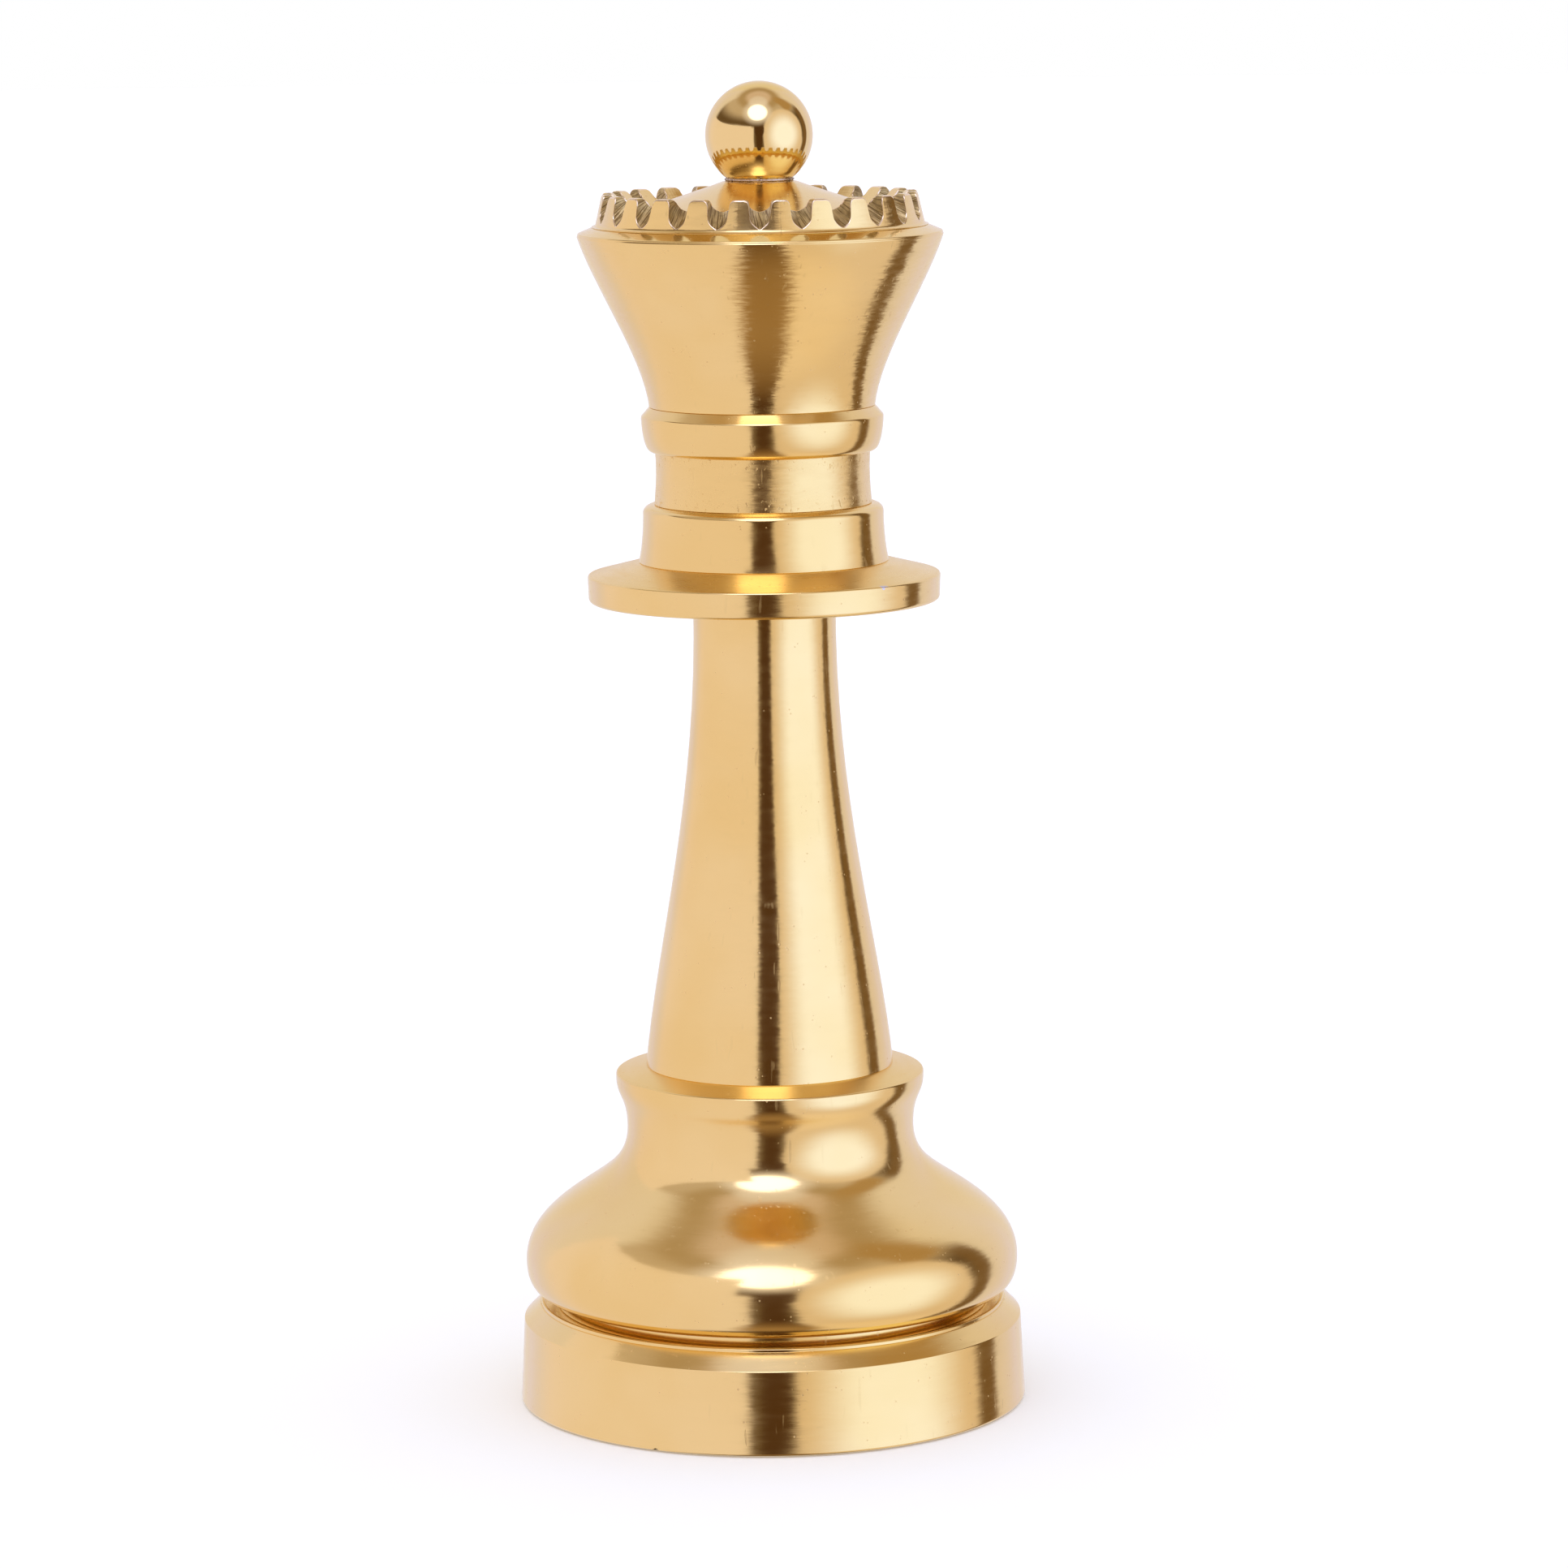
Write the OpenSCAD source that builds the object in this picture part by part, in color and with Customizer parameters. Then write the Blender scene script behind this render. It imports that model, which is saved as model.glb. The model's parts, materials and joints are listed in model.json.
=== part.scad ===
// Giant chess queen: a gilt ornament of turned, hollow aluminium castings, stacked on one M8 tie rod.
// Millimetres, +Z up, origin at the centre of the felt's underside, front of the piece towards -Y.
// All the turned castings are rings around the rod, located in each other by short spigots.
// The ball finial screws onto the rod's upper end and holds the dome down on the crown.

/* [Plinth] */
// Diameter at the foot of the plinth
plinth_d = 137; // [134:0.5:142]
// Diameter at the plinth's upper edge, under the bevel
plinth_edge_d = 134.8; // [132:0.2:135]
// Height of the plinth's upper edge above the table
plinth_edge_z = 23; // [22:0.1:24]
// Diameter of the lip inside the bevel
lip_d = 125; // [123:0.5:127]
// Height of the lip above the table
lip_z = 27.8; // [27.4:0.1:28.5]
// Wall thickness of the plinth casting
plinth_wall = 5.5; // [4.5:0.1:6.5]

/* [Base bulb] */
// Largest diameter of the bulb
bulb_d = 133.2; // [130:0.2:136]
// Height of the bulb's widest ring
bulb_z = 38.7; // [37.5:0.1:40]
// Diameter of the recessed foot between plinth and bulb
bulb_foot_d = 116.8; // [115:0.2:118]
// Smallest diameter of the hollow waist under the flange
waist_d = 77.4; // [76:0.2:79]
// Height of the waist
waist_z = 75; // [74:0.1:76]
// Diameter of the flange above the waist
flange_d = 83.1; // [81:0.1:86]
// Slope of the straight shoulder between waist and bulb, in degrees
shoulder_slope = 38.4; // [37:0.1:40]

/* [Stem] */
// Height of the stem's foot, on the flange
stem_z = 91.8; // [91.4:0.1:92.2]
// Diameter at the stem's foot
stem_foot_d = 66.7; // [66:0.1:67.4]
// Diameter at the stem's top
stem_top_d = 38.2; // [37:0.1:39]
// Height of the stem's top, where the collar disc sits
stem_top_z = 217.8; // [214:0.1:219.5]
// Wall thickness of the stem casting
stem_wall = 4.5; // [4:0.1:5]

/* [Collar] */
// Diameter of the collar disc
disc_d = 94.2; // [90:0.2:98]
// Height of the disc's cylindrical edge
disc_edge_h = 7.2; // [6:0.1:8]
// Slope of the disc's top, in degrees
disc_slope = 13.5; // [12:0.5:15]
// Foot diameter of the lower collar ring
low_ring_foot_d = 66.8; // [66:0.1:68]
// Top diameter of the lower collar ring
low_ring_top_d = 64.2; // [63.6:0.1:65]
// Height of the lower collar ring
low_ring_h = 15.4; // [13.5:0.1:17]
// Diameter of the neck spool between the rings
neck_d = 56.8; // [55:0.1:58]
// Length of the neck spool between the rings
neck_h = 14.2; // [12:0.1:16]
// Diameter of the upper collar ring
up_ring_d = 64.6; // [63:0.1:66]
// Height of the upper collar ring
up_ring_h = 11.8; // [11:0.1:13]

/* [Crown] */
// Diameter at the bottom of the flared cup
cup_foot_d = 60.2; // [59.5:0.1:61]
// Diameter of the cup's rim
cup_rim_d = 97.2; // [95:0.2:99]
// Height of the cup, from its foot to its rim
cup_h = 45.9; // [44:0.1:47.5]
// Rise of the sloping ledge from the rim to the coronet
ledge_rise = 1.8; // [1.4:0.1:2.4]
// Outer diameter at the foot of the coronet
coronet_foot_d = 87; // [86:0.1:88]
// Outer diameter at the tips of the coronet's teeth
coronet_tip_d = 83.9; // [83.4:0.1:84.6]
// Height of the coronet above the ledge
coronet_h = 8.8; // [8.3:0.1:9.2]
// Number of filed notches
notch_count = 24; // [18:1:26]
// Depth of a notch at the coronet's outer face
notch_depth = 7.1; // [6:0.1:7.4]
// Radius of a notch's round bottom
notch_r = 2.6; // [2.2:0.1:2.8]
// Lean of a notch's floor, rising towards the axis, in degrees
notch_lean = 33; // [28:1:36]
// Turn of the front notch away from straight ahead, in degrees
notch_turn = 0; // [-7:0.1:7]
// Diameter of the dome inside the coronet
dome_d = 68.4; // [67.6:0.2:69]
// Slope of the dome, in degrees
dome_slope = 18.2; // [17:0.1:19]

/* [Finial] */
// Diameter of the ball
ball_d = 28.5; // [27.5:0.1:30]
// Diameter of the flat that the ball stands on
ball_seat_d = 17.6; // [16:0.1:18]
// Thickness of the seating washer under the ball
seat_washer_t = 0.7; // [0.5:0.1:1]
// Turns it takes to unscrew the ball from the rod
finial_turns = 10; // [7:1:10]

/* [Tie rod and hardware] */
// Thread diameter of the tie rod
rod_d = 8; // [7.8:0.1:8]
// Thread pitch of the tie rod
rod_pitch = 1.25; // [1:0.05:1.25]
// Width across flats of the nuts
nut_flats = 13; // [12.5:0.1:13]
// Height of the nuts
nut_h = 6.5; // [6:0.1:6.8]
// Diameter of the large washers
washer_d = 24; // [20:0.5:25]
// Thickness of the large washers
washer_t = 2; // [1.6:0.1:2]

/* [Underside] */
// Thickness of the felt pad
felt_t = 2; // [1.6:0.1:2.4]
// How far the felt stands proud of the plinth
felt_proud = 0.4; // [0.3:0.1:1]
// Thickness of the cover plate
cover_t = 1.5; // [1.2:0.1:1.6]
// Number of cover screws
screw_count = 3; // [3:1:6]
// Radius at which the cover screws stand
screw_circle_r = 54; // [52:0.5:56]

/* [Hidden] */
$fn = 96;
curve_steps = 16;                       // straight pieces in each curved outline
edge_r = 0.7;                           // buffed edges of the castings
spigot_gap = 0.1;                       // radial play of a spigot in its bore
rod_hole_r = rod_d / 2 + 0.25;          // clearance holes for the rod
tap_gap = 0.05;                         // running clearance of the ball's thread

gilt = [0.87, 0.69, 0.40];
zinc = [0.66, 0.68, 0.70];
soft_metal = [0.80, 0.76, 0.66];
felt_black = [0.10, 0.10, 0.11];

// Plinth levels
deck_z = 26.6;                          // top of the deck, where the bulb stands
deck_t = 5;
cover_top_z = felt_t + cover_t;
cover_r = plinth_d / 2 - 3.7;
rim_recess_r = cover_r + 0.2;
clamp_boss_z = 16;                      // underside of the boss that the lower washer bears on
screw_boss_r = 5;
screw_r = 1.7;
screw_l = 11;
screw_head_r = 3.2;
register_r = 52.9;                      // raised ring that centres the bulb on the deck
register_h = 3;

// Base bulb levels
bulb_under_z = deck_z + 3.75;           // flat underside of the bulb
shoulder_r = 45.3;
shoulder_z = 62.5;
flange_edge_z = 90.1;
stem_spigot_r = 26.9;
stem_spigot_h = 5.5;

// Collar levels
top_spigot_r = 13;
top_spigot_h = 5;
disc_top_z = stem_top_z + disc_edge_h
    + (disc_d - low_ring_foot_d) / 2 * tan(disc_slope);
spool_spigot_r = 22;
spool_recess_h = 3;
spool_bore_r = 17;
neck_z = disc_top_z + low_ring_h;
up_ring_z = neck_z + neck_h;
cup_z = up_ring_z + up_ring_h;

// Crown levels
cup_recess_h = 3.7;
cup_web_t = 6;
cup_floor_z = cup_z + cup_recess_h + cup_web_t;
rim_z = cup_z + cup_h;
ledge_z = rim_z + ledge_rise;
ledge_r = coronet_foot_d / 2 + 1.1;
mouth_r = 41.6;                         // bore of the cup that centres the coronet
coronet_spigot_h = 4.5;
coronet_z = ledge_z + coronet_h;
coronet_wall_top = 1.6;                 // flat on top of a tooth, measured along the radius
dome_seat_z = ledge_z + 0.6;
dome_rim_z = dome_seat_z + 3;
dome_lap = 3.3;                         // width of the step that carries the dome
dome_top_z = dome_rim_z + (dome_d - ball_seat_d) / 2 * tan(dome_slope);

// Finial levels
ball_r = ball_d / 2;
ball_bottom_z = dome_top_z + seat_washer_t;
ball_z = ball_bottom_z + sqrt(ball_r * ball_r - ball_seat_d * ball_seat_d / 4);
finial_travel = finial_turns * rod_pitch;
rod_bottom_z = 4.5;
rod_top_z = ball_bottom_z + finial_travel - 0.2;
ball_bore_top_z = rod_top_z + 2.5;

// Points of a cubic curve from a to d, pulled towards b and c
function curve(a, b, c, d) = [for (i = [0:curve_steps])
    let (t = i / curve_steps, u = 1 - t)
    u * u * u * a + 3 * u * u * t * b + 3 * u * t * t * c + t * t * t * d];

// Points of an arc around centre c, from angle a0 to a1
function arc(c, r, a0, a1, steps = 6) = [for (i = [0:steps])
    let (a = a0 + (a1 - a0) * i / steps)
    c + r * [cos(a), sin(a)]];

// A turned piece from its half outline, [radius, height]
module turned(outline) {
    rotate_extrude() polygon(outline);
}

// A plain ring between two heights
module ring(r_out, r_in, z0, z1) {
    turned([[r_in, z0], [r_out, z0], [r_out, z1], [r_in, z1]]);
}

module hex_nut(z0) {
    chamfer = 0.7;
    corner_r = nut_flats / 2 / cos(30);
    difference() {
        intersection() {
            translate([0, 0, z0]) cylinder(r = corner_r, h = nut_h, $fn = 6);
            turned([[0, z0], [corner_r - chamfer, z0], [corner_r, z0 + chamfer / 2],
                [corner_r, z0 + nut_h - chamfer / 2], [corner_r - chamfer, z0 + nut_h],
                [0, z0 + nut_h]]);
        }
        translate([0, 0, z0 - 1]) cylinder(d = rod_d, h = nut_h + 2);
    }
}

module around(count) {
    for (i = [0:count - 1]) rotate([0, 0, 360 * i / count]) children();
}

// Hollow plinth: tapered wall, bevel and lip, and the deck that closes its top
module plinth() {
    foot_r = plinth_d / 2;
    edge = [plinth_edge_d / 2, plinth_edge_z];
    lip = [lip_d / 2, lip_z];
    bevel_end = lip + [0.6, -0.9];
    corner_r = 0.5;
    lip_w = 0.7;
    inner_r = foot_r - plinth_wall;
    boss_top_z = deck_z - deck_t / 2;
    color(gilt) difference() {
        union() {
            turned(concat(
                [[0, deck_z - deck_t], [inner_r - 3, deck_z - deck_t], [inner_r, deck_z - deck_t - 3],
                    [inner_r, cover_top_z], [rim_recess_r, cover_top_z], [rim_recess_r, felt_proud]],
                arc([foot_r - edge_r, felt_proud + edge_r], edge_r, -90, 0),
                arc(edge - [corner_r, corner_r], corner_r, 0, 50),
                [bevel_end, bevel_end + [-0.25, 0]],
                arc(lip - [0, 0.35], 0.35, 0, 90),
                [lip - [lip_w, 0], [lip[0] - lip_w, deck_z], [register_r, deck_z],
                    [register_r, deck_z + register_h - 0.5], [register_r - 0.5, deck_z + register_h],
                    [register_r - 4, deck_z + register_h], [register_r - 4, deck_z], [0, deck_z]]));
            translate([0, 0, clamp_boss_z]) cylinder(r = 14, h = boss_top_z - clamp_boss_z);
            around(screw_count) translate([screw_circle_r, 0, cover_top_z])
                cylinder(r = screw_boss_r, h = boss_top_z - cover_top_z);
        }
        translate([0, 0, clamp_boss_z - 1]) cylinder(r = rod_hole_r, h = deck_z);
        around(screw_count) translate([screw_circle_r, 0, 0])
            cylinder(r = screw_r, h = deck_z - deck_t);
    }
}

// Bulb, waist and flange in one hollow casting that stands on the deck
module base_bulb() {
    foot_r = bulb_foot_d / 2;
    equator = [bulb_d / 2, bulb_z];
    waist = [waist_d / 2, waist_z];
    shoulder = [shoulder_r, shoulder_z];
    along = [cos(shoulder_slope), -sin(shoulder_slope)];
    flange_side = [flange_d / 2, flange_edge_z - 1.8];
    under = [foot_r + 1.7, bulb_under_z];
    stem_r = stem_foot_d / 2;
    bore_r = stem_spigot_r + spigot_gap;
    cavity_foot_r = register_r + spigot_gap;
    color(gilt) turned(concat(
        [[cavity_foot_r, deck_z], [foot_r, deck_z], [foot_r, bulb_under_z - 0.5],
            [foot_r + 0.5, bulb_under_z]],
        curve(under, under + [4.5, 0], equator - [0, 5.5], equator),
        curve(equator, equator + [0, 12.2], shoulder + 9.7 * along, shoulder),
        curve(shoulder, shoulder - 2.8 * along, waist - [0, 7.4], waist),
        curve(waist, waist + [0, 8.2], flange_side - [0, 4.6], flange_side),
        arc([flange_side[0] - edge_r, flange_edge_z - edge_r], edge_r, 0, 80),
        [[stem_r + 0.4, stem_z], [bore_r, stem_z], [bore_r, stem_z - 6]],
        curve([bore_r, stem_z - 6], [waist[0] - 5, stem_z - 8], [waist[0] - 5, waist_z + 6],
            waist - [5, 0]),
        curve(waist - [5, 0], waist - [5, 9], shoulder - [4, 6], shoulder + [3, -7.5]),
        curve(shoulder + [3, -7.5], shoulder + [10, -12.5], equator + [-5, 10], equator - [5, 0]),
        [[equator[0] - 6.5, bulb_z - 4], [cavity_foot_r, deck_z + 5.5]]));
}

// Tapered hollow stem with a spigot at each end
module stem() {
    foot = [stem_foot_d / 2, stem_z];
    top = [stem_top_d / 2, stem_top_z];
    low_pull = [-3, 32.7];
    top_pull = [-0.8, -53.7];
    inset = [stem_wall, 0];
    web_z = stem_top_z - 6.5;
    inner_top = [top[0] - stem_wall, web_z];
    spigot_in_r = stem_spigot_r - 3;
    color(gilt) turned(concat(
        [[spigot_in_r, stem_z - stem_spigot_h], [stem_spigot_r, stem_z - stem_spigot_h],
            [stem_spigot_r, stem_z]],
        curve(foot, foot + low_pull, top + top_pull, top),
        [[top_spigot_r, stem_top_z], [top_spigot_r, stem_top_z + top_spigot_h],
            [rod_hole_r, stem_top_z + top_spigot_h], [rod_hole_r, web_z]],
        curve(inner_top, inner_top + top_pull, foot - inset + low_pull, foot - inset + [0, 6]),
        [[spigot_in_r, stem_z + 2]]));
}

// Disc under the collar, flat below and sloping on top
module collar_disc() {
    r = disc_d / 2;
    edge_z = stem_top_z + disc_edge_h;
    bore_r = top_spigot_r + spigot_gap;
    recess_r = spool_spigot_r + spigot_gap;
    color(gilt) turned(concat(
        [[bore_r, stem_top_z]],
        arc([r - 1.3, stem_top_z + 1.1], 1.1, -90, 0),
        arc([r - edge_r, edge_z - edge_r], edge_r, 0, 90 - disc_slope),
        [[low_ring_foot_d / 2, disc_top_z], [recess_r, disc_top_z],
            [recess_r, disc_top_z - spool_recess_h], [bore_r, disc_top_z - spool_recess_h]]));
}

// Flared ring that stands on the disc
module lower_collar_ring() {
    foot = [low_ring_foot_d / 2, disc_top_z];
    top = [low_ring_top_d / 2, neck_z - 2.2];
    bore_r = spool_spigot_r + spigot_gap;
    color(gilt) turned(concat(
        [[bore_r, disc_top_z]],
        curve(foot, foot + [-0.9, 3.5], top - [0, 4], top),
        arc(top - [1.9, 0], 1.9, 15, 70),
        [[neck_d / 2 + 1.2, neck_z], [bore_r, neck_z]]));
}

// Spool between the two rings, with a long spigot through each of them
module neck_spool() {
    r = neck_d / 2;
    low = [r + 0.6, neck_z];
    high = [r + 0.3, up_ring_z];
    color(gilt) turned(concat(
        [[spool_bore_r, disc_top_z - spool_recess_h + 0.2],
            [spool_spigot_r, disc_top_z - spool_recess_h + 0.2], [spool_spigot_r, neck_z]],
        curve(low, low + [-0.4, neck_h / 3], [r - 0.15, up_ring_z - neck_h / 3], high),
        [[spool_spigot_r, up_ring_z], [spool_spigot_r, cup_z + cup_recess_h - 0.2],
            [spool_bore_r, cup_z + cup_recess_h - 0.2]]));
}

// Ring under the cup, rounded in towards its lower edge
module upper_collar_ring() {
    r = up_ring_d / 2;
    low = [r - 1.7, up_ring_z + 0.6];
    high = [r, cup_z - 2.9];
    bore_r = spool_spigot_r + spigot_gap;
    color(gilt) turned(concat(
        [[bore_r, up_ring_z], [low[0] - 0.8, up_ring_z]],
        curve(low, low + [0.8, 1], high - [0.1, 4], high),
        arc(high - [1.1, 0], 1.1, 10, 50),
        [[cup_foot_d / 2, cup_z], [bore_r, cup_z]]));
}

// Flared cup with the web that the upper nut clamps, and the sloping ledge on its rim
module crown_cup() {
    foot = [cup_foot_d / 2, cup_z];
    rim = [cup_rim_d / 2, rim_z];
    bore_r = spool_spigot_r + spigot_gap;
    floor_r = foot[0] - 4;
    color(gilt) turned(concat(
        [[rod_hole_r, cup_z + cup_recess_h], [bore_r, cup_z + cup_recess_h], [bore_r, cup_z]],
        curve(foot, foot + [1.4, 13.2], rim - [4.3, 14], rim - [0, 0.6]),
        arc(rim - [0.75, 0.2], 0.6, 0, 60),
        [[ledge_r, ledge_z], [mouth_r, ledge_z]],
        curve([mouth_r, ledge_z - 8], rim - [10, 13.5], [floor_r + 2, cup_floor_z + 6],
            [floor_r, cup_floor_z]),
        [[rod_hole_r, cup_floor_z]]));
}

// One notch: a round-bottomed groove that opens towards its top, run radially through the wall
module notch() {
    top_h = 14;
    flank = 9;                          // outward lean of the notch's flanks, in degrees
    outer_r = (coronet_foot_d + coronet_tip_d) / 4;
    floor_z = coronet_z - notch_depth;
    seam = notch_r * [cos(flank), -sin(flank)];
    half_top = seam[0] + top_h * tan(flank);
    translate([0, -outer_r, floor_z]) rotate([notch_lean, 0, 0]) rotate([90, 0, 0])
        translate([0, notch_r, -20]) {
            cylinder(r = notch_r, h = 32);
            linear_extrude(height = 32)
                polygon([seam, [half_top, seam[1] + top_h], [-half_top, seam[1] + top_h],
                    [-seam[0], seam[1]]]);
        }
}

// Notched ring inside the rim, with a step on its inside that carries the dome
module coronet_ring() {
    foot_r = coronet_foot_d / 2;
    tip_r = coronet_tip_d / 2;
    fillet = 1.1;
    tip_round = 0.6;
    step_r = dome_d / 2 + spigot_gap;
    bore_r = step_r - dome_lap;
    tooth_in = [tip_r - tip_round - coronet_wall_top, coronet_z];
    color(gilt) difference() {
        turned(concat(
            [[bore_r, ledge_z - coronet_spigot_h], [mouth_r - spigot_gap, ledge_z - coronet_spigot_h],
                [mouth_r - spigot_gap, ledge_z], [ledge_r, ledge_z]],
            arc([foot_r + fillet, ledge_z + 0.25 + fillet], fillet, 270, 188),
            arc([tip_r - tip_round, coronet_z - tip_round], tip_round, 10, 90),
            [tooth_in, [tooth_in[0] - 0.4, coronet_z - 0.2], [step_r, dome_rim_z - 0.6],
                [step_r, dome_seat_z], [bore_r, dome_seat_z]]));
        rotate([0, 0, notch_turn]) around(notch_count) notch();
    }
}

// Shallow dome inside the coronet, hollow below, with a flat for the ball
module crown_dome() {
    r = dome_d / 2;
    seat_r = ball_seat_d / 2;
    shell = 3.4;
    boss_r = 9;
    inner_r = r - 3.2;
    fall = tan(dome_slope);
    color(gilt) turned([[rod_hole_r, dome_top_z - 9], [boss_r, dome_top_z - 9],
        [boss_r, dome_top_z - shell - (boss_r - seat_r) * fall],
        [inner_r, dome_top_z - shell - (inner_r - seat_r) * fall],
        [inner_r, dome_seat_z], [r, dome_seat_z], [r, dome_rim_z - 0.35],
        [r - 0.3, dome_rim_z + 0.1], [seat_r, dome_top_z], [rod_hole_r, dome_top_z]]);
}

// Ball finial with a blind tapped hole
module finial_ball() {
    bore_r = rod_d / 2 + tap_gap;
    lead = 0.6;
    color(gilt) difference() {
        translate([0, 0, ball_z]) sphere(r = ball_r);
        translate([0, 0, ball_bottom_z - ball_d]) cylinder(r = ball_d, h = ball_d);
        turned([[0, ball_bottom_z - 1], [bore_r + lead, ball_bottom_z - 1],
            [bore_r + lead, ball_bottom_z], [bore_r, ball_bottom_z + lead],
            [bore_r, ball_bore_top_z], [0, ball_bore_top_z + bore_r * tan(30)]]);
    }
}

// Thin soft washer that the ball is tightened against
module finial_washer() {
    color(soft_metal) ring(ball_seat_d / 2 - 0.1, rod_hole_r, dome_top_z, ball_bottom_z);
}

// Tie rod through the whole stack, with chamfered ends
module tie_rod() {
    r = rod_d / 2;
    chamfer = 0.8;
    color(zinc) turned([[0, rod_bottom_z], [r - chamfer, rod_bottom_z], [r, rod_bottom_z + chamfer],
        [r, rod_top_z - chamfer], [r - chamfer, rod_top_z], [0, rod_top_z]]);
}

module crown_washer() {
    color(zinc) ring(washer_d / 2, rod_hole_r, cup_floor_z, cup_floor_z + washer_t);
}

module crown_nut() {
    color(zinc) hex_nut(cup_floor_z + washer_t);
}

module base_washer() {
    color(zinc) ring(washer_d / 2, rod_hole_r, clamp_boss_z - washer_t, clamp_boss_z);
}

// Split spring washer under the lower nut
module base_spring_washer() {
    z1 = clamp_boss_z - washer_t;
    z0 = z1 - 2;
    slit = 1.2;
    color(zinc) difference() {
        ring(6.8, rod_hole_r, z0, z1);
        rotate([0, 0, 20]) translate([0, -slit / 2, z0 - 1]) cube([10, slit, 4]);
    }
}

module base_nut() {
    color(zinc) hex_nut(clamp_boss_z - washer_t - 2 - nut_h);
}

// Sheet disc that closes the hollow plinth, countersunk for its screws
module base_cover() {
    color(zinc) difference() {
        translate([0, 0, felt_t]) cylinder(r = cover_r, h = cover_t);
        around(screw_count) translate([screw_circle_r, 0, 0])
            turned([[0, felt_t - 1], [screw_head_r, felt_t - 1], [screw_head_r, felt_t],
                [screw_r, cover_top_z], [screw_r, cover_top_z + 1], [0, cover_top_z + 1]]);
    }
}

// Countersunk screws that hold the cover to the bosses in the plinth
module cover_screws() {
    color(zinc) around(screw_count) translate([screw_circle_r, 0, 0])
        turned([[0, felt_t], [screw_head_r, felt_t], [screw_r, cover_top_z],
            [screw_r, felt_t + screw_l - 1], [0.6, felt_t + screw_l], [0, felt_t + screw_l]]);
}

// Felt that the piece stands on, glued over the cover
module felt_pad() {
    color(felt_black) cylinder(r = cover_r - 0.3, h = felt_t);
}

plinth();
base_bulb();
stem();
collar_disc();
lower_collar_ring();
neck_spool();
upper_collar_ring();
crown_cup();
coronet_ring();
crown_dome();
finial_ball();
finial_washer();
tie_rod();
crown_washer();
crown_nut();
base_washer();
base_spring_washer();
base_nut();
base_cover();
cover_screws();
felt_pad();
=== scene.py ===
import json
import math
import random

import bpy
import numpy as np
from mathutils import Matrix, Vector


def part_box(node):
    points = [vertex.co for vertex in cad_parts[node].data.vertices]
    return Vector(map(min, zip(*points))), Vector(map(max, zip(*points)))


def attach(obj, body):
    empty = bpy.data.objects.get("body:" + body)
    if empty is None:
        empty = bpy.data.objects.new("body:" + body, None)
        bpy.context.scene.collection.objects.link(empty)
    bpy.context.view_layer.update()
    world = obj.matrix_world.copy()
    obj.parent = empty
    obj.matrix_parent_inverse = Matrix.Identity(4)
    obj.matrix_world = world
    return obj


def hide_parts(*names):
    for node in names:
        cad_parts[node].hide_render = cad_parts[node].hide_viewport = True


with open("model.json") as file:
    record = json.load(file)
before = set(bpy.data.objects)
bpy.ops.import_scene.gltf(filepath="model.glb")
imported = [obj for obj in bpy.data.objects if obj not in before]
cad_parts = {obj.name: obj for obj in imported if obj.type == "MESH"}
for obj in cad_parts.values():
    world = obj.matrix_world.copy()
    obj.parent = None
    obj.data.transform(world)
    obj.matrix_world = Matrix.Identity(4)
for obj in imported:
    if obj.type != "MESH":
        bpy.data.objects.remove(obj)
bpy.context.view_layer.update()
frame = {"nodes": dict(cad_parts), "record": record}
MM = 0.001
FULL_TURN = 2 * math.pi


# ---------------------------------------------------------------- shader graphs

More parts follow.
